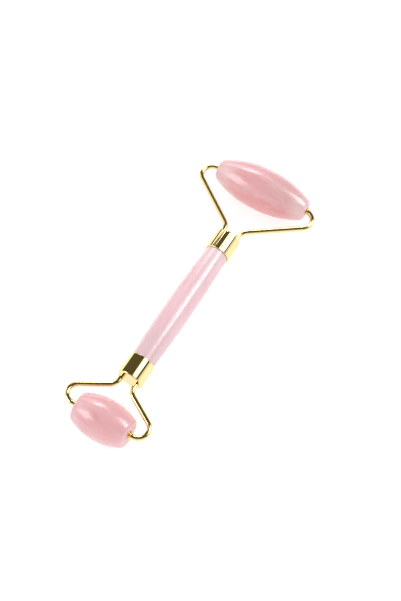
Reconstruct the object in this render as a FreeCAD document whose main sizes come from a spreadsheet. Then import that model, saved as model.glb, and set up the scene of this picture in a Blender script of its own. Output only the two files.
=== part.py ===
"""Double-ended rose quartz face roller.

A stone handle carries a metal ferrule at each end.  A bent wire yoke stands out of each
ferrule and holds a barrel-shaped roller stone, which turns on the two tips of the wire.

Row frame, in millimetres: +X along the roller axles, +Y along the handle towards the
large roller, +Z up.  The tool lies on the plane Z = 0, and the origin is on that plane
under the middle of its overall length.
"""

import FreeCAD
import Part
import Sketcher
import math
import os
from FreeCAD import Vector

OUT_FOLDER = "parts"

# Driving dimensions: alias, value in millimetres, what it is.
DIMENSIONS = [
    ("handle_visible", 62.6, "length of the handle between the two ferrule mouths"),
    ("handle_neck_radius", 5.3, "radius of the handle where it enters a ferrule"),
    ("handle_belly_radius", 6.1, "largest radius of the handle"),
    ("handle_belly_place", -5.0, "place of the largest radius, from the handle's middle"),
    ("handle_tenon", 5.1, "length of handle inside each ferrule"),
    ("handle_tenon_chamfer", 0.5, "bevel on the hidden ends of the handle"),
    ("ferrule_length", 10.3, "length of a ferrule"),
    ("ferrule_outer_radius", 6.0, "outer radius of a ferrule"),
    ("ferrule_inner_radius", 5.4, "inner radius of a ferrule"),
    ("ferrule_end_wall", 1.0, "thickness of a ferrule's closed end"),
    ("ferrule_end_fillet", 0.5, "rounding of a ferrule's closed end"),
    ("ferrule_mouth_fillet", 0.2, "rounding of a ferrule's open rim"),
    ("wire_radius", 1.2, "radius of the yoke wire"),
    ("wire_tip_fillet", 0.4, "rounding of the wire's ends"),
    ("wire_hole_radius", 1.27, "radius of the wire holes in a ferrule's closed end"),
    ("leg_half_spacing", 3.6, "half the distance between the two wires at a ferrule"),
    ("bridge_depth", 3.6, "depth of the hidden wire bridge, from the ferrule's end face"),
    ("bridge_bend_radius", 2.0, "bend radius of the hidden wire bridge"),
    ("large_axle_reach", 30.85, "large end: ferrule end face to the axle"),
    ("large_hook_radius", 5.0, "large end: bend radius of a hook"),
    ("large_hook_place", 23.8, "large end: half the distance between the hooks' centres"),
    ("large_leg_straight", 1.9, "large end: straight wire before the first bend"),
    ("large_leg_bend_radius", 6.3, "large end: radius of the first bend"),
    ("large_stone_radius", 10.0, "large stone: radius of its middle"),
    ("large_stone_half_length", 23.2, "large stone: half its length"),
    ("large_stone_end_radius", 4.5, "large stone: radius at the ends, before rounding"),
    ("large_stone_half_land", 1.5, "large stone: half the straight band round the middle"),
    ("large_stone_end_fillet", 2.0, "large stone: rounding of the ends"),
    ("large_side_shift", 0.4, "large stone: place within its end play, towards +X"),
    ("small_axle_reach", 21.1, "small end: ferrule end face to the axle"),
    ("small_hook_radius", 4.6, "small end: bend radius of a hook"),
    ("small_hook_place", 15.2, "small end: half the distance between the hooks' centres"),
    ("small_leg_straight", 1.6, "small end: straight wire before the first bend"),
    ("small_leg_bend_radius", 5.0, "small end: radius of the first bend"),
    ("small_stone_radius", 9.4, "small stone: radius of its middle"),
    ("small_stone_half_length", 12.9, "small stone: half its length"),
    ("small_stone_end_radius", 6.2, "small stone: radius at the ends, before rounding"),
    ("small_stone_half_land", 0.4, "small stone: half the straight band round the middle"),
    ("small_stone_end_fillet", 1.6, "small stone: rounding of the ends"),
    ("small_side_shift", 0.7, "small stone: place within its end play, towards +X"),
    ("stone_bore_radius", 1.65, "radius of the blind bore in each end of a stone"),
    ("stone_bore_depth", 9.0, "depth of that bore"),
    ("bush_outer_radius", 1.6, "outer radius of a bush's tube"),
    ("bush_inner_radius", 1.25, "running radius of a bush"),
    ("bush_length", 8.0, "length of a bush's tube in the stone"),
    ("bush_flange_radius", 1.85, "radius of a bush's flange"),
    ("bush_flange_thickness", 0.6, "thickness of a bush's flange"),
    ("bush_flange_fillet", 0.15, "rounding of a bush's flange"),
    ("wire_in_bush", 7.0, "length of wire inside the bush at the +X end of a roller"),
]

doc = FreeCAD.newDocument("face_roller")
sheet = doc.addObject("Spreadsheet::Sheet", "dims")
for row, (alias, value, note) in enumerate(DIMENSIONS, start=1):
    sheet.set(f"A{row}", note)
    sheet.set(f"B{row}", str(value))
    sheet.setAlias(f"B{row}", alias)
doc.recompute()

# Sketcher's own numbers for a sketch's origin, its axes, and the points of a line or arc.
ORIGIN_POINT = (-1, 1)
X_AXIS = -1
Y_AXIS = -2
START, END, CENTRE = 1, 2, 3

TOUCH = 1e-6
EDGE_BOX_SLACK = 1e-3

# The handle's axis lies a large stone's radius above the table, and the middle of the
# whole tool's length is at Y = 0.
AXIS_HEIGHT = "dims.large_stone_radius"
LARGE_END = "(dims.large_axle_reach + dims.large_stone_radius)"
SMALL_END = "(dims.small_axle_reach + dims.small_stone_radius)"
HANDLE_MIDDLE = f"({SMALL_END} - {LARGE_END}) / 2"
FERRULE_END = "(dims.handle_visible / 2 + dims.ferrule_length)"


def dim(alias):
    """A driving dimension from the sheet."""
    return float(sheet.get(alias))


def new_body(label):
    body = doc.addObject("PartDesign::Body", label)
    body.Label = label
    return body


def put(body, x="0", y="0", z=AXIS_HEIGHT, turned=False):
    """Places a body by expressions, turned half round about Z if asked."""
    if turned:
        body.Placement = FreeCAD.Placement(Vector(), FreeCAD.Rotation(Vector(0, 0, 1), 180))
    for letter, expression in (("x", x), ("y", y), ("z", z)):
        body.setExpression(f"Placement.Base.{letter}", f"({expression}) * 1 mm")


def new_sketch(body, name, role):
    """A sketch on one of the body's own origin planes."""
    plane = next(f for f in body.Origin.OriginFeatures if f.Role == role)
    sketch = body.newObject("Sketcher::SketchObject", f"{body.Label}_{name}")
    sketch.AttachmentSupport = (plane, [""])
    sketch.MapMode = "FlatFace"
    return sketch


def line(sketch, a, b):
    return sketch.addGeometry(Part.LineSegment(Vector(*a, 0), Vector(*b, 0)), False)


def arc(sketch, centre, radius, start_deg, end_deg):
    """An arc that runs anticlockwise from start to end."""
    circle = Part.Circle(Vector(*centre, 0), Vector(0, 0, 1), radius)
    ends = math.radians(start_deg), math.radians(end_deg)
    return sketch.addGeometry(Part.ArcOfCircle(circle, *ends), False)


def bind(sketch, kind, place, value, expression):
    """Adds a dimension and binds it to the sheet.  Place is the constraint's geometry."""
    index = sketch.addConstraint(Sketcher.Constraint(kind, *place, value))
    sketch.setExpression(f"Constraints[{index}]", expression)


def bind_point(sketch, point, x=None, y=None):
    """Fixes a point's distances from the origin, each given as (value, expression)."""
    if x is not None:
        bind(sketch, "DistanceX", (*ORIGIN_POINT, *point), *x)
    if y is not None:
        bind(sketch, "DistanceY", (*ORIGIN_POINT, *point), *y)


def measured(expression):
    """The value of an expression of the sheet's aliases, and the expression itself."""
    names = {alias: dim(alias) for alias, _, _ in DIMENSIONS}
    plain = expression.replace("dims.", "")
    for alias in sorted(names, key=len, reverse=True):
        plain = plain.replace(alias, repr(names[alias]))
    value = FreeCAD.Units.Quantity(f"({plain}) * 1 mm").Value
    return value, expression


def closed_outline(sketch, corners):
    """Straight sides through corners, each corner an (x, y) pair of expressions.

    An expression of "0" puts the corner on that axis."""
    points = [tuple(measured(e)[0] for e in corner) for corner in corners]
    count = len(points)
    sides = [line(sketch, points[i], points[(i + 1) % count]) for i in range(count)]
    for i in range(count):
        following = sides[(i + 1) % count]
        sketch.addConstraint(Sketcher.Constraint("Coincident", sides[i], END, following, START))
    for side, (x, y) in zip(sides, corners):
        fix_corner(sketch, (side, START), x, y)
    return sides


def fix_corner(sketch, point, x, y):
    for expression, axis, key in ((x, Y_AXIS, "x"), (y, X_AXIS, "y")):
        if expression == "0":
            sketch.addConstraint(Sketcher.Constraint("PointOnObject", *point, axis))
        else:
            bind_point(sketch, point, **{key: measured(expression)})


def chain(sketch, geometry, corners):
    """Joins sides end to start in a ring and fixes the start of each that has a corner."""
    for i, side in enumerate(geometry):
        following = geometry[(i + 1) % len(geometry)]
        sketch.addConstraint(Sketcher.Constraint("Coincident", side, END, following, START))
    for side, corner in zip(geometry, corners):
        if corner:
            fix_corner(sketch, (side, START), *corner)


def revolve(body, sketch, axis):
    feature = body.newObject("PartDesign::Revolution", f"{body.Label}_revolution")
    feature.Profile = sketch
    feature.ReferenceAxis = (sketch, [axis])
    feature.Angle = 360
    sketch.Visibility = False
    doc.recompute()
    return feature


def ring_edges(feature, radius, place, axis):
    """Names of the circular edges of that radius, centred at place along the axis."""
    found = []
    for number, edge in enumerate(feature.Shape.Edges, start=1):
        curve = edge.Curve
        if not isinstance(curve, Part.Circle) or abs(curve.Radius - radius) > TOUCH:
            continue
        if abs(curve.Center.dot(axis) - place) < TOUCH:
            found.append(f"Edge{number}")
    if not found:
        raise RuntimeError(f"{feature.Label} has no ring of radius {radius} at {place}")
    return found


def fillet(body, base, edges, alias, name="fillet"):
    feature = body.newObject("PartDesign::Fillet", f"{body.Label}_{name}")
    feature.Base = (base, edges)
    feature.setExpression("Radius", f"dims.{alias}")
    doc.recompute()
    return feature


def make_handle():
    """The stone handle: a long barrel with a plain tenon for each ferrule."""
    body = new_body("handle_stone")
    sketch = new_sketch(body, "profile", "XY_Plane")
    neck, belly = "dims.handle_neck_radius", "dims.handle_belly_radius"
    half, place = "dims.handle_visible / 2", "dims.handle_belly_place"
    tip = "(dims.handle_visible / 2 + dims.handle_tenon)"
    bevel = "dims.handle_tenon_chamfer"
    corners = [
        ("0", f"-{tip}"),
        (f"{neck} - {bevel}", f"-{tip}"),
        (neck, f"{bevel} - {tip}"),
        (neck, f"-{half}"),
        (belly, place),
        (neck, half),
        (neck, f"{tip} - {bevel}"),
        (f"{neck} - {bevel}", tip),
        ("0", tip),
    ]
    at = [tuple(measured(e)[0] for e in corner) for corner in corners]
    sides = [line(sketch, at[i], at[i + 1]) for i in range(3)]
    sides.append(barrel_arc(sketch, at[3], at[4], at[4]))
    sides.append(barrel_arc(sketch, at[4], at[5], at[4]))
    sides += [line(sketch, at[i], at[(i + 1) % len(at)]) for i in range(5, len(at))]
    chain(sketch, sides, corners)
    for curved in sides[3:5]:
        # Both arcs are level with the belly, so they meet there without a corner.
        belly_point = (sides[4], START)
        sketch.addConstraint(Sketcher.Constraint("Horizontal", curved, CENTRE, *belly_point))
    revolve(body, sketch, "V_Axis")
    put(body, y=HANDLE_MIDDLE)
    return body


def barrel_arc(sketch, a, b, top):
    """An arc from a to b about a centre that is level with top, on its left."""
    other = a if b == top else b
    rise, run = top[0] - other[0], other[1] - top[1]
    radius = (run**2 + rise**2) / (2 * rise)
    centre = (top[0] - radius, top[1])
    angles = [math.degrees(math.atan2(p[1] - centre[1], p[0] - centre[0])) for p in (a, b)]
    return arc(sketch, centre, radius, *angles)


def make_ferrule(label, turned):
    """A drawn metal cup.  Its closed end is at local Y = 0 and it opens towards -Y."""
    body = new_body(label)
    sketch = new_sketch(body, "profile", "XY_Plane")
    outer, inner = "dims.ferrule_outer_radius", "dims.ferrule_inner_radius"
    mouth, floor = "-dims.ferrule_length", "-dims.ferrule_end_wall"
    closed_outline(
        sketch,
        [("0", "0"), ("0", floor), (inner, floor), (inner, mouth), (outer, mouth), (outer, "0")],
    )
    cup = revolve(body, sketch, "V_Axis")
    along = Vector(0, 1, 0)
    outer_radius = dim("ferrule_outer_radius")
    end_ring = ring_edges(cup, outer_radius, 0, along)
    rounded = fillet(body, cup, end_ring, "ferrule_end_fillet", "end_fillet")
    mouth_ring = ring_edges(rounded, outer_radius, -dim("ferrule_length"), along)
    rounded = fillet(body, rounded, mouth_ring, "ferrule_mouth_fillet", "mouth_fillet")

    holes = new_sketch(body, "wire_holes", "XZ_Plane")
    for side in (-1, 1):
        centre = Vector(side * dim("leg_half_spacing"), 0, 0)
        radius = dim("wire_hole_radius")
        circle = holes.addGeometry(Part.Circle(centre, Vector(0, 0, 1), radius), False)
        bind(holes, "Radius", (circle,), radius, "dims.wire_hole_radius")
        spacing = "dims.leg_half_spacing"
        expression = spacing if side > 0 else f"-{spacing}"
        bind_point(holes, (circle, CENTRE), x=(centre.x, expression))
        holes.addConstraint(Sketcher.Constraint("PointOnObject", circle, CENTRE, X_AXIS))
    pocket = body.newObject("PartDesign::Pocket", f"{label}_wire_pocket")
    pocket.Profile = holes
    pocket.Midplane = True
    pocket.setExpression("Length", "dims.ferrule_end_wall * 3")
    doc.recompute()
    drilled = rounded.Shape.Volume - pocket.Shape.Volume
    expected = 2 * math.pi * dim("wire_hole_radius") ** 2 * dim("ferrule_end_wall")
    if abs(drilled - expected) > 0.02 * expected:
        raise RuntimeError(f"{label}: the wire holes took {drilled:.2f} mm3, not {expected:.2f}")
    sign = "-" if turned else ""
    put(body, y=f"{HANDLE_MIDDLE} + {sign}{FERRULE_END}", turned=turned)
    return body


def tangent_angle(corner_x, corner_y, centre_x, centre_y, radius):
    """Direction, in degrees, of the line from a corner that passes right of a circle."""
    away_x, away_y = centre_x - corner_x, centre_y - corner_y
    reach = math.hypot(away_x, away_y)
    return math.degrees(math.atan2(away_y, away_x) - math.asin(radius / reach))


def bend_geometry(end):
    """Centre and leg angle of the first bend, found by stepping to where they agree."""
    half, straight = dim("leg_half_spacing"), dim(f"{end}_leg_straight")
    bend, hook = dim(f"{end}_leg_bend_radius"), dim(f"{end}_hook_radius")
    hook_centre = dim(f"{end}_hook_place"), dim(f"{end}_axle_reach") - hook
    angle = 35.0
    for _ in range(30):
        corner = straight + bend * math.tan(math.radians(90 - angle) / 2)
        angle = tangent_angle(half, corner, *hook_centre, hook)
    return (half + bend, straight), angle, hook_centre


def make_yoke(label, end, turned):
    """One bent wire.  Local Y = 0 is the ferrule's end face and +Y points at the roller.

    Half of it is a pipe along a planar path: from the middle of the bridge hidden in the
    ferrule, out through the end wall, along the leg, round the hook and into the bush.
    The other half is its mirror image."""
    body = new_body(label)
    path = new_sketch(body, "path", "XY_Plane")
    half, depth = dim("leg_half_spacing"), dim("bridge_depth")
    corner, straight = dim("bridge_bend_radius"), dim(f"{end}_leg_straight")
    bend, hook = dim(f"{end}_leg_bend_radius"), dim(f"{end}_hook_radius")
    reach = dim(f"{end}_axle_reach")
    bend_centre, angle, hook_centre = bend_geometry(end)
    tip = (
        f"dims.{end}_stone_half_length + dims.{end}_side_shift"
        " + dims.bush_flange_thickness - dims.wire_in_bush"
    )
    tip_x = measured(tip)[0]

    turn = 90 - angle
    lean = math.radians(angle)
    leg_start = (
        bend_centre[0] - bend * math.sin(lean),
        bend_centre[1] + bend * math.cos(lean),
    )
    leg_end = (
        hook_centre[0] + hook * math.sin(lean),
        hook_centre[1] - hook * math.cos(lean),
    )
    bridge = line(path, (0, -depth), (half - corner, -depth))
    elbow = arc(path, (half - corner, corner - depth), corner, -90, 0)
    root = line(path, (half, corner - depth), (half, straight))
    first_bend = arc(path, bend_centre, bend, 180 - turn, 180)
    leg = line(path, leg_start, leg_end)
    hook_arc = arc(path, hook_centre, hook, angle - 90, 90)
    tip_line = line(path, (hook_centre[0], reach), (tip_x, reach))

    joints = [
        (bridge, END, elbow, START),
        (elbow, END, root, START),
        (root, END, first_bend, END),
        (first_bend, START, leg, START),
        (leg, END, hook_arc, START),
        (hook_arc, END, tip_line, START),
    ]
    for joint in joints:
        path.addConstraint(Sketcher.Constraint("Tangent", *joint))
    for kind, side in (("Horizontal", bridge), ("Vertical", root), ("Horizontal", tip_line)):
        path.addConstraint(Sketcher.Constraint(kind, side))
    path.addConstraint(Sketcher.Constraint("PointOnObject", bridge, START, Y_AXIS))
    bind_point(path, (bridge, START), y=(-depth, "-dims.bridge_depth"))
    bind_point(path, (root, END), (half, "dims.leg_half_spacing"))
    bind_point(path, (root, END), y=(straight, f"dims.{end}_leg_straight"))
    bind_point(path, (hook_arc, CENTRE), (hook_centre[0], f"dims.{end}_hook_place"))
    bind_point(path, (tip_line, END), (tip_x, tip), (reach, f"dims.{end}_axle_reach"))
    bind(path, "Radius", (elbow,), corner, "dims.bridge_bend_radius")
    bind(path, "Radius", (first_bend,), bend, f"dims.{end}_leg_bend_radius")
    bind(path, "Radius", (hook_arc,), hook, f"dims.{end}_hook_radius")

    section = new_sketch(body, "section", "YZ_Plane")
    radius = dim("wire_radius")
    circle = section.addGeometry(Part.Circle(Vector(-depth, 0, 0), Vector(0, 0, 1), radius), False)
    bind(section, "Radius", (circle,), radius, "dims.wire_radius")
    bind_point(section, (circle, CENTRE), x=(-depth, "-dims.bridge_depth"))
    section.addConstraint(Sketcher.Constraint("PointOnObject", circle, CENTRE, X_AXIS))
    doc.recompute()

    pipe = body.newObject("PartDesign::AdditivePipe", f"{label}_pipe")
    pipe.Profile = section
    pipe.Spine = (path, [])
    pipe.Mode = "Standard"
    doc.recompute()
    expected = path.Shape.Length * math.pi * radius**2
    if abs(pipe.Shape.Volume - expected) > 0.01 * expected:
        raise RuntimeError(f"{label}: the pipe's volume is {pipe.Shape.Volume:.1f}")

    rounded = fillet(body, pipe, tip_edges(pipe, tip_x), "wire_tip_fillet", "tip_fillet")
    mirror = body.newObject("PartDesign::Mirrored", f"{label}_mirror")
    mirror.Originals = [pipe, rounded]
    plane = next(f for f in body.Origin.OriginFeatures if f.Role == "YZ_Plane")
    mirror.MirrorPlane = (plane, [""])
    body.Tip = mirror
    doc.recompute()
    sign = "-" if turned else ""
    put(body, y=f"{HANDLE_MIDDLE} + {sign}{FERRULE_END}", turned=turned)
    return body


def tip_edges(pipe, tip_x):
    """Names of the edges round the flat end of the wire's tip."""
    names = []
    for number, edge in enumerate(pipe.Shape.Edges, start=1):
        box = edge.BoundBox
        if abs(box.XMin - tip_x) < EDGE_BOX_SLACK and abs(box.XMax - tip_x) < EDGE_BOX_SLACK:
            names.append(f"Edge{number}")
    if not names:
        raise RuntimeError(f"{pipe.Label} has no edge at its tip")
    return names


def make_stone(label, end, axle_y):
    """A barrel-shaped roller stone with a blind bore in each end, turned about X."""
    body = new_body(label)
    sketch = new_sketch(body, "profile", "XY_Plane")
    radius, length = f"dims.{end}_stone_radius", f"dims.{end}_stone_half_length"
    rim, land = f"dims.{end}_stone_end_radius", f"dims.{end}_stone_half_land"
    bore, depth = "dims.stone_bore_radius", "dims.stone_bore_depth"
    corners = [
        (f"{length} - {depth}", "0"),
        (f"{length} - {depth}", bore),
        (length, bore),
        (length, rim),
        (land, radius),
        (f"-{land}", radius),
        (f"-{length}", rim),
        (f"-{length}", bore),
        (f"{depth} - {length}", bore),
        (f"{depth} - {length}", "0"),
    ]
    at = [tuple(measured(e)[0] for e in corner) for corner in corners]
    crown = crown_radius(end)
    centre_y = at[4][1] - crown
    rim_angle = math.degrees(math.atan2(at[3][1] - centre_y, at[3][0] - at[4][0]))
    sides = [line(sketch, at[i], at[i + 1]) for i in range(3)]
    sides.append(arc(sketch, (at[4][0], centre_y), crown, rim_angle, 90))
    sides.append(line(sketch, at[4], at[5]))
    sides.append(arc(sketch, (at[5][0], centre_y), crown, 90, 180 - rim_angle))
    sides += [line(sketch, at[i], at[(i + 1) % len(at)]) for i in range(6, len(at))]
    chain(sketch, sides, corners)
    right_arc, band, left_arc = sides[3], sides[4], sides[5]
    for crown_arc, point in ((right_arc, (band, START)), (left_arc, (band, END))):
        sketch.addConstraint(Sketcher.Constraint("Vertical", crown_arc, CENTRE, *point))
    stone = revolve(body, sketch, "H_Axis")
    along = Vector(1, 0, 0)
    half = dim(f"{end}_stone_half_length")
    rims = [ring_edges(stone, dim(f"{end}_stone_end_radius"), x, along) for x in (-half, half)]
    fillet(body, stone, sum(rims, []), f"{end}_stone_end_fillet")
    put(body, x=f"dims.{end}_side_shift", y=axle_y)
    return body


def crown_radius(end):
    """Radius of the barrel's long arc, from its land to the rim of the end face."""
    rise = dim(f"{end}_stone_radius") - dim(f"{end}_stone_end_radius")
    run = dim(f"{end}_stone_half_length") - dim(f"{end}_stone_half_land")
    return (run**2 + rise**2) / (2 * rise)


def make_bush(label, end, axle_y, turned):
    """A flanged brass eyelet.  The flange's back is at local X = 0 and the tube runs to -X."""
    body = new_body(label)
    sketch = new_sketch(body, "profile", "XY_Plane")
    inner, outer, rim = "dims.bush_inner_radius", "dims.bush_outer_radius", "dims.bush_flange_radius"
    tail, face = "-dims.bush_length", "dims.bush_flange_thickness"
    closed_outline(
        sketch,
        [(tail, inner), (face, inner), (face, rim), ("0", rim), ("0", outer), (tail, outer)],
    )
    turned_bush = revolve(body, sketch, "H_Axis")
    along = Vector(1, 0, 0)
    face_x = dim("bush_flange_thickness")
    edges = ring_edges(turned_bush, dim("bush_flange_radius"), face_x, along)
    edges += ring_edges(turned_bush, dim("bush_inner_radius"), face_x, along)
    fillet(body, turned_bush, edges, "bush_flange_fillet")
    sign = "-" if turned else ""
    x = f"dims.{end}_side_shift + {sign}dims.{end}_stone_half_length"
    put(body, x=x, y=axle_y, turned=turned)
    return body


def make_adhesive(label, handle, yoke, turned):
    """Set resin that fills a ferrule round the handle's tenon and the wire bridge."""
    cavity = doc.addObject("Part::Cylinder", f"{label}_cavity")
    cavity.setExpression("Radius", "dims.ferrule_inner_radius * 1 mm")
    cavity.setExpression("Height", "(dims.ferrule_length - dims.ferrule_end_wall) * 1 mm")
    # The cylinder's own axis is +Z: it is laid along the row's Y from the ferrule's mouth.
    quarter = 90 if turned else -90
    cavity.Placement = FreeCAD.Placement(Vector(), FreeCAD.Rotation(Vector(1, 0, 0), quarter))
    sign = "-" if turned else ""
    mouth = f"{HANDLE_MIDDLE} + {sign}dims.handle_visible / 2"
    cavity.setExpression("Placement.Base.y", f"({mouth}) * 1 mm")
    cavity.setExpression("Placement.Base.z", f"({AXIS_HEIGHT}) * 1 mm")
    inside = doc.addObject("Part::MultiFuse", f"{label}_inside")
    inside.Shapes = [handle, yoke]
    resin = doc.addObject("Part::Cut", label)
    resin.Base = cavity
    resin.Tool = inside
    resin.Label = label
    return resin


def check_document():
    """Stops if a feature failed or a sketch did not solve, which recompute doesn't raise."""
    for thing in doc.Objects:
        if {"Invalid", "Error"} & set(thing.State):
            raise RuntimeError(f"{thing.Label} failed: {thing.State}")
        if thing.isDerivedFrom("Sketcher::SketchObject") and thing.solve() != 0:
            raise RuntimeError(f"{thing.Label} did not solve")


def write(pieces):
    """Writes each piece as one STEP file named after its label."""
    os.makedirs(OUT_FOLDER, exist_ok=True)
    for piece in pieces:
        shape = piece.Shape
        if shape.isNull() or not shape.isValid() or not shape.Solids:
            raise RuntimeError(f"{piece.Label} is not a valid solid")
        shape.exportStep(os.path.join(OUT_FOLDER, f"{piece.Label}.step"))
        box = shape.BoundBox
        low = f"({box.XMin:.2f}, {box.YMin:.2f}, {box.ZMin:.2f})"
        high = f"({box.XMax:.2f}, {box.YMax:.2f}, {box.ZMax:.2f})"
        print(f"{piece.Label}: {len(shape.Solids)} solid, {shape.Volume:.1f} mm3, {low} {high}")


handle_piece = make_handle()
made = [handle_piece]
for end_name, flipped in (("large", False), ("small", True)):
    minus = "-" if flipped else ""
    reach_to_axle = f"({FERRULE_END} + dims.{end_name}_axle_reach)"
    axle = f"{HANDLE_MIDDLE} + {minus}{reach_to_axle}"
    yoke_piece = make_yoke(f"{end_name}_yoke_wire", end_name, flipped)
    made.append(yoke_piece)
    made.append(make_ferrule(f"{end_name}_end_ferrule", flipped))
    made.append(make_adhesive(f"{end_name}_end_adhesive", handle_piece, yoke_piece, flipped))
    made.append(make_stone(f"{end_name}_roller_stone", end_name, axle))
    for side_name, is_left in (("right", False), ("left", True)):
        made.append(make_bush(f"{end_name}_bush_{side_name}", end_name, axle, is_left))
doc.recompute()
check_document()
write(made)
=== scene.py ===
"""Looks of the double-ended rose quartz face roller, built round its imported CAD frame.

The tool lies on the floor at Z = 0, with its handle along Y, the large roller at +Y and the
axles along X.  Shapes are worked out in millimetres and made in metres.
"""

import math

import bmesh
import bpy
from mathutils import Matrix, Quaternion, Vector, noise


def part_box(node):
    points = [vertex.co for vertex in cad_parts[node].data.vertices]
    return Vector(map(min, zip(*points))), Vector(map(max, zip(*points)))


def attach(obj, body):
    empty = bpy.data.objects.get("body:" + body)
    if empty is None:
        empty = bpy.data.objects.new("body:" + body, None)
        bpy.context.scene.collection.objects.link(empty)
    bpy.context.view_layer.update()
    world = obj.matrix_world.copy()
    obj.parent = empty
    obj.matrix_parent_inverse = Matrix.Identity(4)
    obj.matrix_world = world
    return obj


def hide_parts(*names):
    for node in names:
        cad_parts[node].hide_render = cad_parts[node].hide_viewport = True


MM = 0.001

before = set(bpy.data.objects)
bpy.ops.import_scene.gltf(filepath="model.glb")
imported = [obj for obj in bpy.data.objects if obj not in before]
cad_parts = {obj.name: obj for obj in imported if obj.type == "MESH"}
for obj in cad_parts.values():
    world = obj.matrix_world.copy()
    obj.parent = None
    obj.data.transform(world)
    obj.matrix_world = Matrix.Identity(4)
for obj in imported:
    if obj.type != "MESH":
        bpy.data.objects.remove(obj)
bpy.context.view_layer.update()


# ---------------------------------------------------------------- camera

VIEW_AZIMUTH = math.radians(31.1)
VIEW_ELEVATION = math.radians(61.4)
VIEW_DISTANCE = 0.5086
VIEW_AIM = Vector((6.1, 1.9, 10.1)) * MM
LENS_MM = 68.9
NEAREST_SEEN = 0.01


def add_camera():
    """A long lens high above the tool, off to its +X side and towards the small roller."""
    camera = bpy.data.objects.new("camera", bpy.data.cameras.new("camera"))
    camera.data.lens = LENS_MM
    camera.data.clip_start = NEAREST_SEEN
    level = math.cos(VIEW_ELEVATION)
    away = Vector(
        (math.sin(VIEW_AZIMUTH) * level, -math.cos(VIEW_AZIMUTH) * level, math.sin(VIEW_ELEVATION))
    )
    camera.location = VIEW_AIM + away * VIEW_DISTANCE
    camera.rotation_euler = (-away).to_track_quat("-Z", "Y").to_euler()
    bpy.context.scene.collection.objects.link(camera)
    bpy.context.scene.camera = camera


# ---------------------------------------------------------------- node helpers


class Nodes:
    """Short calls for building one material's node tree."""

    def __init__(self, name):
        self.material = bpy.data.materials.new(name)
        self.material.use_nodes = True
        self.tree = self.material.node_tree
        self.tree.nodes.clear()
        self.shader = self.tree.nodes.new("ShaderNodeBsdfPrincipled")
        output = self.tree.nodes.new("ShaderNodeOutputMaterial")
        self.tree.links.new(self.shader.outputs[0], output.inputs["Surface"])
        self.place = self.tree.nodes.new("ShaderNodeTexCoord").outputs["Object"]

    def feed(self, socket, value):
        if isinstance(value, bpy.types.NodeSocket):
            self.tree.links.new(value, socket)
        else:
            socket.default_value = value

    def mapped(self, scale):
        """The piece's own coordinates, scaled along each axis."""
        node = self.tree.nodes.new("ShaderNodeMapping")
        node.vector_type = "POINT"
        self.feed(node.inputs["Vector"], self.place)
        node.inputs["Scale"].default_value = scale
        return node.outputs["Vector"]

    def noise(self, vector, scale, detail=2.0, roughness=0.5, distortion=0.0):
        node = self.tree.nodes.new("ShaderNodeTexNoise")
        self.feed(node.inputs["Vector"], vector)
        node.inputs["Scale"].default_value = scale
        node.inputs["Detail"].default_value = detail
        node.inputs["Roughness"].default_value = roughness
        node.inputs["Distortion"].default_value = distortion
        return node.outputs["Fac"]

    def cells(self, vector, scale):
        """How far each place is from the nearest of many scattered points."""
        node = self.tree.nodes.new("ShaderNodeTexVoronoi")
        self.feed(node.inputs["Vector"], vector)
        node.inputs["Scale"].default_value = scale
        return node.outputs["Distance"]

    def ramp(self, value, stops):
        """A soft map from a number to colours or greys: stops are (place, colour)."""
        node = self.tree.nodes.new("ShaderNodeValToRGB")
        self.feed(node.inputs["Fac"], value)
        ramp = node.color_ramp
        ramp.interpolation = "EASE"
        while len(ramp.elements) < len(stops):
            ramp.elements.new(1.0)
        for element, (at, colour) in zip(ramp.elements, stops):
            element.position = at
            element.color = (*colour, 1.0) if isinstance(colour, tuple) else (colour,) * 3 + (1.0,)
        return node.outputs["Color"]

    def mix(self, factor, a, b):
        node = self.tree.nodes.new("ShaderNodeMix")
        node.data_type = "RGBA"
        self.feed(node.inputs["Factor"], factor)
        self.feed(node.inputs["A"], a if isinstance(a, bpy.types.NodeSocket) else (*a, 1.0))
        self.feed(node.inputs["B"], b if isinstance(b, bpy.types.NodeSocket) else (*b, 1.0))
        return node.outputs["Result"]

    def spread(self, value, low, high, to_low, to_high):
        """Maps low..high to to_low..to_high, clamped and eased."""
        node = self.tree.nodes.new("ShaderNodeMapRange")
        node.interpolation_type = "SMOOTHSTEP"
        for name, given in (
            ("Value", value),
            ("From Min", low),
            ("From Max", high),
            ("To Min", to_low),
            ("To Max", to_high),
        ):
            self.feed(node.inputs[name], given)
        return node.outputs["Result"]

    def maths(self, operation, a, b):
        node = self.tree.nodes.new("ShaderNodeMath")
        node.operation = operation
        self.feed(node.inputs[0], a)
        self.feed(node.inputs[1], b)
        return node.outputs["Value"]

    def vector(self, operation, a, b, output="Vector"):
        node = self.tree.nodes.new("ShaderNodeVectorMath")
        node.operation = operation
        self.feed(node.inputs[0], a)
        self.feed(node.inputs[1], b)
        return node.outputs[output]

    def bump(self, height, distance, strength, below=None):
        """A relief distance metres deep, laid over the one below."""
        node = self.tree.nodes.new("ShaderNodeBump")
        node.inputs["Strength"].default_value = strength
        node.inputs["Distance"].default_value = distance
        self.feed(node.inputs["Height"], height)
        if below is not None:
            self.feed(node.inputs["Normal"], below)
        return node.outputs["Normal"]

    def finish(self, **inputs):
        """Sets the shader's sockets, named with _ for a space, and gives the material."""
        for name, value in inputs.items():
            self.feed(self.shader.inputs[name.replace("_", " ")], value)
        return self.material


# ---------------------------------------------------------------- materials

FROSTED = (0.84, 0.61, 0.61)
SPECK_BROWN = (0.42, 0.17, 0.13)
RESIN_DEEP = (0.46, 0.27, 0.16)
RESIN_PALE = (0.60, 0.38, 0.24)
PAPER_GREYS = (0.46, 0.49)
FLOOR_GLOW = 0.64

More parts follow.
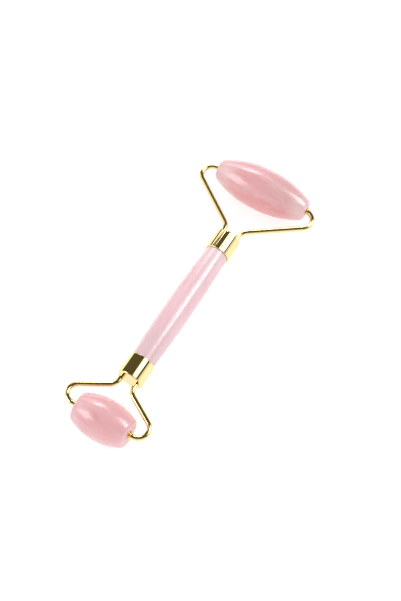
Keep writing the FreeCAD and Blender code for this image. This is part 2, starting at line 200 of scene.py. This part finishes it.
# How fine each pattern is, in repeats to a metre.
ZONE_EDGE_SCALE = 260
SPECK_SCALE = 230
SPECK_CLUSTER_SCALE = 140
RUBBED_SCALE = 900
PIT_SCALE = 700
TARNISH_SCALE = 320
SMEAR_SCALE = 700
BUBBLE_SCALE = 2600
HAZE_SCALE = 600
FIBRE_SCALE = 900

# How many times finer these are than the clouds in the same stone.
GROWTH_BANDS_FINER = 3.1
WISPS_FINER = 4.7

# How deep each relief is, and how far light wanders under a surface, in metres.
PIT_DEPTH = 0.000012
RUBBED_DEPTH = 0.000004
POLISHING_LINE_DEPTH = 0.000002
BUBBLE_DEPTH = 0.00002
QUARTZ_MILKINESS = 0.0011
RESIN_MILKINESS = 0.001


def rose_quartz(name, centre, tones, cloud, grain, zones, flaws):
    """Polished rose quartz: milky clouds, growth bands, frosty wisps, specks, a soft gloss.

    Tones are the deep, middle and pale pinks.  Cloud is the size of the clouds along and across
    the grain in millimetres, and grain is the axis they are drawn out along.  Zones are (place,
    size, colour, strength), placed in millimetres from the stone's centre, and flaws says how
    strong the wisps and specks are."""
    n = Nodes(name)
    deep, middle, pale = tones
    own = n.vector("SUBTRACT", n.place, tuple(centre * MM))
    long_way, cross_way = (1 / (size * MM) for size in cloud)
    stretch = tuple(long_way if axis == grain else cross_way for axis in range(3))
    drawn = n.vector("MULTIPLY", own, stretch)
    clouds = n.noise(drawn, 1.0, 3, 0.5, 0.5)
    colour = n.ramp(clouds, [(0.30, deep), (0.50, middle), (0.70, pale)])
    bands = n.noise(n.vector("MULTIPLY", drawn, (GROWTH_BANDS_FINER,) * 3), 1.0, 3, 0.6, 1.0)
    colour = n.mix(n.spread(bands, 0.50, 0.72, 0.0, 0.45), colour, pale)

    ragged = n.noise(own, ZONE_EDGE_SCALE, 3, 0.6)
    # Zones lay patches of colour over the clouds; some are the stone's own tone, and some are painted
    # shade and painted light.
    for place, size, tone, strength in zones:
        away = n.vector("SUBTRACT", own, tuple(Vector(place) * MM))
        scaled = n.vector("MULTIPLY", away, tuple(1 / (side * MM) for side in size))
        reach = n.maths("ADD", n.vector("LENGTH", scaled, (0, 0, 0), "Value"), ragged)
        colour = n.mix(n.spread(reach, 0.85, 1.65, strength, 0.0), colour, tone)

    wisps = n.noise(n.vector("MULTIPLY", drawn, (WISPS_FINER,) * 3), 1.0, 5, 0.68, 1.3)
    colour = n.mix(n.spread(wisps, 0.53, 0.70, 0.0, flaws), colour, FROSTED)
    dots = n.spread(n.cells(own, SPECK_SCALE), 0.03, 0.10, 1.0, 0.0)
    rare = n.spread(n.noise(own, SPECK_CLUSTER_SCALE, 1), 0.48, 0.58, 0.0, flaws)
    colour = n.mix(n.maths("MULTIPLY", dots, rare), colour, SPECK_BROWN)

    rubbed = n.noise(own, RUBBED_SCALE, 4, 0.6)
    pitted = n.spread(n.cells(own, PIT_SCALE), 0.02, 0.16, 0.0, 1.0)
    normal = n.bump(pitted, PIT_DEPTH, strength=0.5)
    normal = n.bump(rubbed, RUBBED_DEPTH, strength=0.5, below=normal)
    return n.finish(
        Base_Color=colour,
        Roughness=n.spread(rubbed, 0.3, 0.7, 0.18, 0.26),
        IOR=1.5,
        Specular_IOR_Level=0.8,
        Normal=normal,
        Subsurface_Weight=0.9,
        Subsurface_Radius=(1.0, 1.0, 1.0),
        Subsurface_Scale=QUARTZ_MILKINESS,
    )


def bright_metal(name, colour, tint, rough, grain):
    """Bright plated metal, with fine polishing lines and slight tarnish clouds.

    Rough is the range of its roughness, and grain how fine the lines are along each axis."""
    n = Nodes(name)
    tarnish = n.noise(n.place, TARNISH_SCALE, 3, 0.6, 0.4)
    shade = n.mix(n.spread(tarnish, 0.42, 0.72, 0.0, 0.5), colour, tint)
    lines = n.noise(n.mapped(grain), 1.0, 3, 0.55)
    smears = n.noise(n.place, SMEAR_SCALE, 4, 0.65)
    roughness = n.spread(n.maths("ADD", lines, smears), 0.75, 1.25, *rough)
    normal = n.bump(lines, POLISHING_LINE_DEPTH, strength=0.35)
    return n.finish(
        Base_Color=shade, Metallic=1.0, Roughness=roughness, Normal=normal, IOR=1.5
    )


def amber_resin():
    """Set epoxy with fine bubbles, seen in the open mouth of a ferrule."""
    n = Nodes("resin")
    bubbles = n.spread(n.cells(n.place, BUBBLE_SCALE), 0.05, 0.25, 1.0, 0.0)
    haze = n.noise(n.place, HAZE_SCALE, 3, 0.6)
    colour = n.mix(haze, RESIN_DEEP, RESIN_PALE)
    return n.finish(
        Base_Color=colour,
        Roughness=n.spread(haze, 0.3, 0.7, 0.25, 0.40),
        Normal=n.bump(bubbles, BUBBLE_DEPTH, strength=0.6),
        Subsurface_Weight=0.4,
        Subsurface_Scale=RESIN_MILKINESS,
    )


def floor_paper():
    """Matt paper that glows enough to look white under these lights."""
    n = Nodes("floor_paper")
    fibre = n.noise(n.place, FIBRE_SCALE, 3, 0.6)
    darker, paler = PAPER_GREYS
    return n.finish(
        Base_Color=n.ramp(fibre, [(0.3, darker), (0.7, paler)]),
        Roughness=1.0,
        Specular_IOR_Level=0.0,
        Emission_Color=(1.0, 1.0, 1.0, 1.0),
        Emission_Strength=FLOOR_GLOW,
    )


def cover(thing, material):
    """Gives a piece one material in every slot."""
    if not thing.data.materials:
        thing.data.materials.append(material)
    for index in range(len(thing.data.materials)):
        thing.data.materials[index] = material


# ---------------------------------------------------------------- shapes

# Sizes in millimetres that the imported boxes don't hold, the same as the CAD's own.
WIRE_RADIUS = 1.2
WIRE_TIP_ROUNDING = 0.4
LEG_HALF_SPACING = 3.6
BRIDGE_DEPTH = 3.6
BRIDGE_BEND = 2.0
WIRE_IN_BUSH = 7.0
BORE_RADIUS = 1.65
BORE_DEPTH = 9.0
BORE_MOUTH_ROUNDING = 0.12
BUSH_LENGTH = 8.0
BUSH_OUTER = 1.6
BUSH_INNER = 1.25
BUSH_ROLLED_LIP = 0.2
HANDLE_NECK = 5.3
HANDLE_VISIBLE = 62.6
HANDLE_BELLY_PLACE = -5.0
HANDLE_BEVEL = 0.5
ENDS = {
    "large": {
        "way": 1,
        "hook": 5.0,
        "hook_place": 23.8,
        "straight": 1.9,
        "leg_bend": 6.3,
        "stone_end": 4.5,
        "half_land": 1.5,
        "rounding": 2.0,
    },
    "small": {
        "way": -1,
        "hook": 4.6,
        "hook_place": 15.2,
        "straight": 1.6,
        "leg_bend": 5.0,
        "stone_end": 6.2,
        "half_land": 0.4,
        "rounding": 1.6,
    },
}

# How finely the pieces are made, in sides to a turn, millimetres and degrees.
STONE_SIDES = 160
STONE_STEP = 0.45
METAL_SIDES = 48
WIRE_STEP = 0.8
ARC_STEP_DEGREES = 4
SHOULDER_STEP_DEGREES = 10
SMALL_LIP_STEP_DEGREES = 18
BORE_MOUTH_STEP_DEGREES = 30
SHARP_EDGE = math.radians(40)

# How far polishing by hand leaves a stone from true: its greatest depth, the width of its
# broad waves, the share of broad and fine waves, and how many times finer the fine ones are.
LAPPED_DEPTH = 0.07
HANDLE_LAPPED_DEPTH = 0.012
LAPPED_WAVE = 9.0
BROAD_SHARE, FINE_SHARE = 0.7, 0.3
FINE_WAVE_RATIO = 2.4

# Where a stone stays exact.  A roller stone is exact within the first radius of its axle and
# fully lapped past the second.  The handle is fully lapped up to the first distance from a
# ferrule and exact within the second.
BORE_KEPT_TRUE = (2.2, 4.0)
HANDLE_KEPT_TRUE = (2.5, 0.5)

# The part of its thickness, in the plane of the bend, that a wire loses where it is bent.
BEND_FLATTENING = 0.03


def node_box(name):
    """A CAD node's lowest and highest corners, in millimetres."""
    return [Vector(corner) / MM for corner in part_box(name)]


def arc_points(centre, radius, start, end, step=ARC_STEP_DEGREES):
    """Points along an arc, its angles in degrees, with both ends."""
    steps = max(2, math.ceil(abs(end - start) / step))
    angles = [math.radians(start + (end - start) * i / steps) for i in range(steps + 1)]
    return [(centre[0] + radius * math.cos(a), centre[1] + radius * math.sin(a)) for a in angles]


def line_points(start, end, step):
    """Points between two ends, without either."""
    steps = max(1, math.ceil(math.dist(start, end) / step))
    return [tuple(Vector(start).lerp(Vector(end), i / steps)) for i in range(1, steps)]


def make_piece(name, points, faces, body, node, material):
    """A smooth mesh piece from points in millimetres, in place of a CAD node."""
    mesh = bpy.data.meshes.new(name)
    mesh.from_pydata([Vector(point) * MM for point in points], [], faces)
    outward = bmesh.new()
    outward.from_mesh(mesh)
    bmesh.ops.recalc_face_normals(outward, faces=outward.faces)
    outward.to_mesh(mesh)
    outward.free()
    mesh.shade_smooth()
    mesh.set_sharp_from_angle(angle=SHARP_EDGE)
    piece = bpy.data.objects.new(name, mesh)
    bpy.context.scene.collection.objects.link(piece)
    cover(piece, material)
    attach(piece, body)
    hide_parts(node)
    return piece


def band(first, second, count):
    """Faces between two rings of points that start at these numbers."""
    corners = range(count)
    following = [(i + 1) % count for i in corners]
    return [(first + i, first + j, second + j, second + i) for i, j in zip(corners, following)]


def turned(profile, sides, place, ring_shaped=False):
    """Points and faces of a profile of (along, radius) turned round an axis.

    Place turns (along, across, up) into a point.  A ring's profile is a loop, and any other
    profile starts and ends on the axis."""
    rings = profile if ring_shaped else profile[1:-1]
    points = []
    for along, radius in rings:
        for i in range(sides):
            angle = 2 * math.pi * i / sides
            points.append(place(along, radius * math.cos(angle), radius * math.sin(angle)))
    faces = []
    for ring in range(len(rings) - 1):
        faces += band(ring * sides, (ring + 1) * sides, sides)
    last = (len(rings) - 1) * sides
    if ring_shaped:
        faces += band(last, 0, sides)
    else:
        points += [place(profile[0][0], 0, 0), place(profile[-1][0], 0, 0)]
        near, far = len(points) - 2, len(points) - 1
        faces += [(near, (i + 1) % sides, i) for i in range(sides)]
        faces += [(far, last + i, last + (i + 1) % sides) for i in range(sides)]
    return points, faces


def lap_by_hand(piece, depth, kept_true):
    """Takes an uneven skin, up to depth millimetres thick, off a stone.

    Kept_true says, from 0 to 1, where it stays exact."""
    mesh = piece.data
    for vertex, normal in zip(mesh.vertices, [v.normal.copy() for v in mesh.vertices]):
        place = vertex.co / MM
        broad = noise.noise(place / LAPPED_WAVE)
        fine = noise.noise(place * FINE_WAVE_RATIO / LAPPED_WAVE)
        swell = BROAD_SHARE * broad + FINE_SHARE * fine
        skin = depth * (0.5 + 0.5 * swell) * (1 - kept_true(place))
        vertex.co -= normal * skin * MM


def fade(value, low, high):
    """1 below low, 0 above high and eased between."""
    part = min(max((value - low) / (high - low), 0.0), 1.0)
    return 1 - part * part * (3 - 2 * part)


def half_stone(half, radius, end):
    """A roller stone's profile from the bottom of its +X bore out and up to its middle."""
    rim, land, rounding = end["stone_end"], end["half_land"], end["rounding"]
    rise, run = radius - rim, half - land
    crown = (run**2 + rise**2) / (2 * rise)
    crown_y = radius - crown
    corner_y = crown_y + math.sqrt((crown - rounding) ** 2 - (run - rounding) ** 2)
    meet = math.degrees(math.atan2(corner_y - crown_y, run - rounding))
    lip = BORE_MOUTH_ROUNDING
    profile = [(half - BORE_DEPTH, 0), (half - BORE_DEPTH, BORE_RADIUS)]
    profile += arc_points((half - lip, BORE_RADIUS + lip), lip, -90, 0, BORE_MOUTH_STEP_DEGREES)
    profile += line_points(profile[-1], (half, corner_y), STONE_STEP)
    profile += arc_points((half - rounding, corner_y), rounding, 0, meet, SHOULDER_STEP_DEGREES)
    crown_step = math.degrees(STONE_STEP / crown)
    profile += arc_points((land, crown_y), crown, meet, 90, crown_step)[1:]
    return profile


def make_roller_stone(name, material):
    """A barrel with a blind bore in each end, lapped by hand everywhere but at the bores."""
    end = ENDS[name]
    low, high = node_box(f"{name}_roller_stone")
    middle = (low + high) / 2
    right = half_stone((high.x - low.x) / 2, (high.z - low.z) / 2, end)
    profile = right + [(-along, radius) for along, radius in reversed(right)]

    def place(along, across, up):
        return middle + Vector((along, across, up))

    points, faces = turned(profile, STONE_SIDES, place)
    piece = make_piece(
        f"{name}_roller_stone_lapped",
        points,
        faces,
        f"{name}_roller",
        f"{name}_roller_stone",
        material,
    )

    def kept_true(point):
        return fade(math.hypot(point.y - middle.y, point.z - middle.z), *BORE_KEPT_TRUE)

    lap_by_hand(piece, LAPPED_DEPTH, kept_true)


def make_handle(material):
    """A long barrel, thickest a little towards the small end, with a tenon in each ferrule."""
    low, high = node_box("handle_stone")
    middle = (low + high) / 2
    belly, tip = (high.z - low.z) / 2, (high.y - low.y) / 2
    half, bevel = HANDLE_VISIBLE / 2, HANDLE_BEVEL
    rise = belly - HANDLE_NECK
    tenon_end = [(tip, 0), (tip, HANDLE_NECK - bevel), (tip - bevel, HANDLE_NECK), (half, HANDLE_NECK)]
    profile = [(-along, radius) for along, radius in tenon_end]
    for along, _ in line_points((-half, 0), (half, 0), STONE_STEP):
        towards_large = along > HANDLE_BELLY_PLACE
        run = half - HANDLE_BELLY_PLACE if towards_large else half + HANDLE_BELLY_PLACE
        bow = (run**2 + rise**2) / (2 * rise)
        drop = bow - math.sqrt(bow**2 - (along - HANDLE_BELLY_PLACE) ** 2)
        profile.append((along, belly - drop))
    profile += reversed(tenon_end)

    def place(along, across, up):
        return middle + Vector((-across, along, up))

    points, faces = turned(profile, STONE_SIDES, place)
    piece = make_piece(
        "handle_stone_lapped", points, faces, "frame", "handle_stone", material
    )

    def kept_true(point):
        starts, full = HANDLE_KEPT_TRUE
        return 1 - fade(abs(point.y - middle.y), half - starts, half - full)

    lap_by_hand(piece, HANDLE_LAPPED_DEPTH, kept_true)


def make_bush(name, side, material):
    """A brass eyelet whose flange is rolled over at its rim."""
    node = f"{name}_bush_{side}"
    low, high = node_box(node)
    middle, way = (low + high) / 2, 1 if side == "right" else -1
    flange = (high.z - low.z) / 2
    face, lip = (high.x - low.x) - BUSH_LENGTH, BUSH_ROLLED_LIP
    root = middle.x - way * ((high.x - low.x) / 2 - BUSH_LENGTH)
    profile = [(0.0, BUSH_OUTER), (-BUSH_LENGTH, BUSH_OUTER), (-BUSH_LENGTH, BUSH_INNER)]
    profile += arc_points((face - lip, BUSH_INNER + lip), lip, -90, 0, SMALL_LIP_STEP_DEGREES)
    profile += arc_points((face - lip, flange - lip), lip, 0, 90, SMALL_LIP_STEP_DEGREES)
    profile.append((0.0, flange))

    def place(along, across, up):
        return Vector((root + way * along, middle.y + way * across, middle.z + up))

    points, faces = turned(profile[::-1], METAL_SIDES, place, ring_shaped=True)
    make_piece(f"{node}_rolled", points, faces, f"{name}_roller", node, material)


def half_wire(end, reach, tip_x):
    """Points of a yoke's +X half, from its hidden bridge to its tip, each with its bending.

    The ferrule's end face is at Y = 0 and the axle at Y = reach."""
    bend, hook, straight = end["leg_bend"], end["hook"], end["straight"]
    hook_centre = Vector((end["hook_place"], reach - hook))
    bend_centre = Vector((LEG_HALF_SPACING + bend, straight))
    # The leg is the inner tangent of the two bends.
    between = hook_centre - bend_centre
    slant = math.atan2(between.y, between.x)
    lean = math.degrees(slant - math.asin((bend + hook) / between.length))
    corner = BRIDGE_BEND - BRIDGE_DEPTH
    stretches = [
        [(0.0, -BRIDGE_DEPTH)],
        arc_points((LEG_HALF_SPACING - BRIDGE_BEND, corner), BRIDGE_BEND, -90, 0),
        arc_points(bend_centre, bend, 180, 90 + lean),
        arc_points(hook_centre, hook, lean - 90, 90),
        [(tip_x, reach)],
    ]
    path = []
    for stretch in stretches:
        if path:
            path += [(*p, 0.0) for p in line_points(path[-1][:2], stretch[0], WIRE_STEP)]
        last = max(1, len(stretch) - 1)
        path += [(*p, math.sin(math.pi * i / last)) for i, p in enumerate(stretch)]
    return path


def make_yoke(name, material):
    """One bent round wire, a little flattened at its bends, its tips rounded over."""
    end = ENDS[name]
    way = end["way"]
    face_low, face_high = node_box(f"{name}_end_ferrule")
    stone_low, stone_high = node_box(f"{name}_roller_stone")
    bush_high = node_box(f"{name}_bush_right")[1]
    face_y = face_high.y if way > 0 else face_low.y
    axle = (stone_low + stone_high) / 2
    tip_x = bush_high.x - WIRE_IN_BUSH
    right = half_wire(end, abs(axle.y - face_y), tip_x)
    path = [(-x, y, bent) for x, y, bent in reversed(right)] + right[1:]

    middles = [Vector((x, y)) for x, y, _ in path]
    rims = []
    for index, (_, _, bent) in enumerate(path):
        ahead = middles[min(index + 1, len(path) - 1)] - middles[max(index - 1, 0)]
        rims.append((middles[index], ahead.normalized(), WIRE_RADIUS, bent))
    rounding = WIRE_TIP_ROUNDING
    tip_centre = (-rounding, WIRE_RADIUS - rounding)
    tip_edge = arc_points(tip_centre, rounding, 90, 0, SMALL_LIP_STEP_DEGREES)
    caps = []
    for (middle, ahead, _, _), sign in ((rims[0], -1), (rims[-1], 1)):
        cap = []
        for back, radius in tip_edge:
            cap.append((middle + ahead * sign * back, ahead, radius, 0.0))
        caps.append(cap)
    rims = caps[0][::-1] + rims[1:-1] + caps[1]

    points, faces = [], []
    for middle, ahead, radius, bent in rims:
        for i in range(METAL_SIDES):
            angle = 2 * math.pi * i / METAL_SIDES
            inward = radius * math.cos(angle) * (1 - BEND_FLATTENING * bent)
            up = radius * math.sin(angle) * (1 + BEND_FLATTENING * bent / 2)
            x, y = middle.x - ahead.y * inward, middle.y + ahead.x * inward
            points.append((way * x, face_y + way * y, axle.z + up))
    for ring in range(len(rims) - 1):
        faces += band(ring * METAL_SIDES, (ring + 1) * METAL_SIDES, METAL_SIDES)
    last = (len(rims) - 1) * METAL_SIDES
    faces.append(tuple(reversed(range(METAL_SIDES))))
    faces.append(tuple(range(last, last + METAL_SIDES)))
    make_piece(
        f"{name}_yoke_wire_bent", points, faces, "frame", f"{name}_yoke_wire", material
    )


# ---------------------------------------------------------------- studio

# Radiances are on the scale where a white of 1 is just fully exposed.
DOME = (1.0, 1.0, 1.0)
DARK_ROOM = (0.090, 0.080, 0.042)
LIGHT_RANGE = 2.0
LIGHT_HEIGHT = 1.5
FLOOR_SIZE = 6.0


def add_plane(name, size, material):
    """A level square at Z = 0, for the stage only."""
    half = size / 2
    corners = [(-half, -half, 0), (half, -half, 0), (half, half, 0), (-half, half, 0)]
    mesh = bpy.data.meshes.new(name)
    mesh.from_pydata(corners, [], [(0, 1, 2, 3)])
    plane = bpy.data.objects.new(name, mesh)
    bpy.context.scene.collection.objects.link(plane)
    cover(plane, material)


def add_surroundings():
    """A soft white dome that lights everything, and the dark room that polish reflects."""
    world = bpy.data.worlds.new("studio")
    world.use_nodes = True
    tree = world.node_tree
    tree.nodes.clear()
    ray = tree.nodes.new("ShaderNodeLightPath")
    chosen = tree.nodes.new("ShaderNodeMixShader")
    tree.links.new(ray.outputs["Is Glossy Ray"], chosen.inputs["Fac"])
    for slot, colour in ((1, DOME), (2, DARK_ROOM)):
        background = tree.nodes.new("ShaderNodeBackground")
        background.inputs["Color"].default_value = (*colour, 1.0)
        tree.links.new(background.outputs[0], chosen.inputs[slot])
    output = tree.nodes.new("ShaderNodeOutputWorld")
    tree.links.new(chosen.outputs[0], output.inputs["Surface"])
    bpy.context.scene.world = world


def compass(azimuth, elevation):
    """A unit vector.  Azimuth is in degrees from +Y towards +X."""
    turn, lift = math.radians(azimuth), math.radians(elevation)
    level = math.cos(lift)
    return Vector((math.sin(turn) * level, math.cos(turn) * level, math.sin(lift)))


def add_light(name, place, width, height, radiance, rotation, seen_by):
    """An even rectangular light, seen_by "polish" as a reflection or by "stone" as light on it.

    The floor is lit like the stone."""
    light = bpy.data.lights.new(name, "AREA")
    light.shape = "RECTANGLE"
    light.size, light.size_y = width, height
    light.energy = radiance * math.pi * width * height
    box = bpy.data.objects.new(name, light)
    box.location = place
    box.rotation_mode = "QUATERNION"
    box.rotation_quaternion = rotation
    box.visible_camera = False
    box.visible_glossy = seen_by == "polish"
    box.visible_diffuse = seen_by == "stone"
    bpy.context.scene.collection.objects.link(box)


def aim_light(name, azimuth, elevation, width, height, radiance, seen_by="polish"):
    """A light that faces the tool, width by height in degrees as the tool sees it."""
    direction = compass(azimuth, elevation)
    spans = (2 * LIGHT_RANGE * math.tan(math.radians(angle / 2)) for angle in (width, height))
    rotation = direction.to_track_quat("Z", "Y")
    add_light(name, direction * LIGHT_RANGE, *spans, radiance, rotation, seen_by)


def hang_light(name, x, y, width, depth, radiance, turn):
    """A level light overhead, seen in polish.  Its place and size are in multiples of its height."""
    rotation = Quaternion((0, 0, 1), math.radians(turn))
    place = Vector((x, y, 1)) * LIGHT_HEIGHT
    spans = width * LIGHT_HEIGHT, depth * LIGHT_HEIGHT
    add_light(name, place, *spans, radiance, rotation, "polish")


def add_studio():
    """The dome and one light for stone and floor, and what polish reflects: the other lights."""
    add_surroundings()
    add_plane("floor", FLOOR_SIZE, floor_paper())
    aim_light("key", -35, 45, 50, 40, 1.0, seen_by="stone")
    hang_light("softbox_back", -2.02, 1.92, 2.7, 1.4, 1.4, turn=-22)
    aim_light("softbox_back_core", -34, 41, 20, 12, 8)
    hang_light("softbox_side", 0.90, 0.85, 1.1, 1.5, 1.7, turn=-31)
    aim_light("softbox_side_core", 46, 46, 24, 20, 6)
    aim_light("softbox_front", -130, 34, 30, 28, 3.8)
    aim_light("card_left", -105, 25, 50, 54, 0.85)
    aim_light("card_front", 160, 18, 110, 40, 0.6)
    aim_light("card_right", 65, 9, 60, 18, 0.8)


# ---------------------------------------------------------------- making

ROLLER_TONES = (0.77, 0.40, 0.42), (0.80, 0.46, 0.48), (0.82, 0.55, 0.57)
HANDLE_TONES = (0.83, 0.54, 0.59), (0.84, 0.59, 0.63), (0.84, 0.63, 0.66)
GREYED = (0.73, 0.46, 0.46)
GREYED_END = (0.75, 0.56, 0.58)
# Painted shade: a deeper salmon pink laid on the large stone's lower side, away from the key light.
SALMON_PAINTED_SHADE = (0.77, 0.32, 0.33)
ROSY = (0.83, 0.45, 0.46)
# Painted light: a paler pink on the upper ends of the stones, standing in for the glow and highlight
# where the lamps catch the rounded ends.
PALE_TIP_PAINTED_LIGHT = (0.84, 0.66, 0.68)
GOLD = (0.98, 0.80, 0.42)
GOLD_TINT = (0.97, 0.74, 0.33)
BRASS = (0.93, 0.66, 0.25)
BRASS_TINT = (0.85, 0.52, 0.16)
ALONG_X, ALONG_Y = 0, 1

# Where each stone's colour changes, some of it painted shade and painted light: place, size, colour
# and strength.
LARGE_ZONES = [
    ((13, 0, 6), (14, 9, 9), GREYED, 0.75),
    # Painted shade: a deeper salmon pink on the lower side, facing away from the key light.
    ((6, -10, 1), (22, 6, 8), SALMON_PAINTED_SHADE, 0.7),
    # Painted light: paler upper ends of the large stone.
    ((-19, 0, 3), (9, 9, 9), PALE_TIP_PAINTED_LIGHT, 0.5),
    ((22, -1, 4), (7, 10, 9), PALE_TIP_PAINTED_LIGHT, 0.5),
]
SMALL_ZONES = [
    # Painted light: a faint paler upper end on the small stone.
    ((-8, 0, 4), (8, 9, 9), PALE_TIP_PAINTED_LIGHT, 0.15),
    ((4, -6, 4), (8, 5, 7), ROSY, 0.6),
]
HANDLE_ZONES = [((0, -26, 0), (16, 15, 16), GREYED_END, 0.75)]

# How fine a metal's polishing lines are along X, Y and Z, in repeats to a metre.
EVEN_LINES = (900, 900, 900)
LINES_ALONG_Y = (2600, 60, 2600)
LINES_ALONG_X = (60, 2600, 2600)


def stone_centre(node):
    low, high = node_box(node)
    return (low + high) / 2


add_camera()
add_studio()

large_quartz = rose_quartz(
    "large_quartz",
    centre=stone_centre("large_roller_stone"),
    tones=ROLLER_TONES,
    cloud=(26, 8),
    grain=ALONG_X,
    zones=LARGE_ZONES,
    flaws=0.6,
)
small_quartz = rose_quartz(
    "small_quartz",
    centre=stone_centre("small_roller_stone"),
    tones=ROLLER_TONES,
    cloud=(18, 10),
    grain=ALONG_X,
    zones=SMALL_ZONES,
    flaws=0.25,
)
handle_quartz = rose_quartz(
    "handle_quartz",
    centre=stone_centre("handle_stone"),
    tones=HANDLE_TONES,
    cloud=(30, 9),
    grain=ALONG_Y,
    zones=HANDLE_ZONES,
    flaws=0.12,
)
wire_gold = bright_metal("wire_gold", GOLD, GOLD_TINT, rough=(0.05, 0.11), grain=EVEN_LINES)
ferrule_gold = bright_metal(
    "ferrule_gold", GOLD, GOLD_TINT, rough=(0.04, 0.09), grain=LINES_ALONG_Y
)
bush_brass = bright_metal(
    "bush_brass", BRASS, BRASS_TINT, rough=(0.12, 0.22), grain=LINES_ALONG_X
)
resin = amber_resin()

make_handle(handle_quartz)
for end_name, quartz in (("large", large_quartz), ("small", small_quartz)):
    make_roller_stone(end_name, quartz)
    make_yoke(end_name, wire_gold)
    for side_name in ("right", "left"):
        make_bush(end_name, side_name, bush_brass)
    cover(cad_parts[f"{end_name}_end_ferrule"], ferrule_gold)
    cover(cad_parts[f"{end_name}_end_adhesive"], resin)

scene = bpy.context.scene
scene.view_settings.view_transform = "Standard"
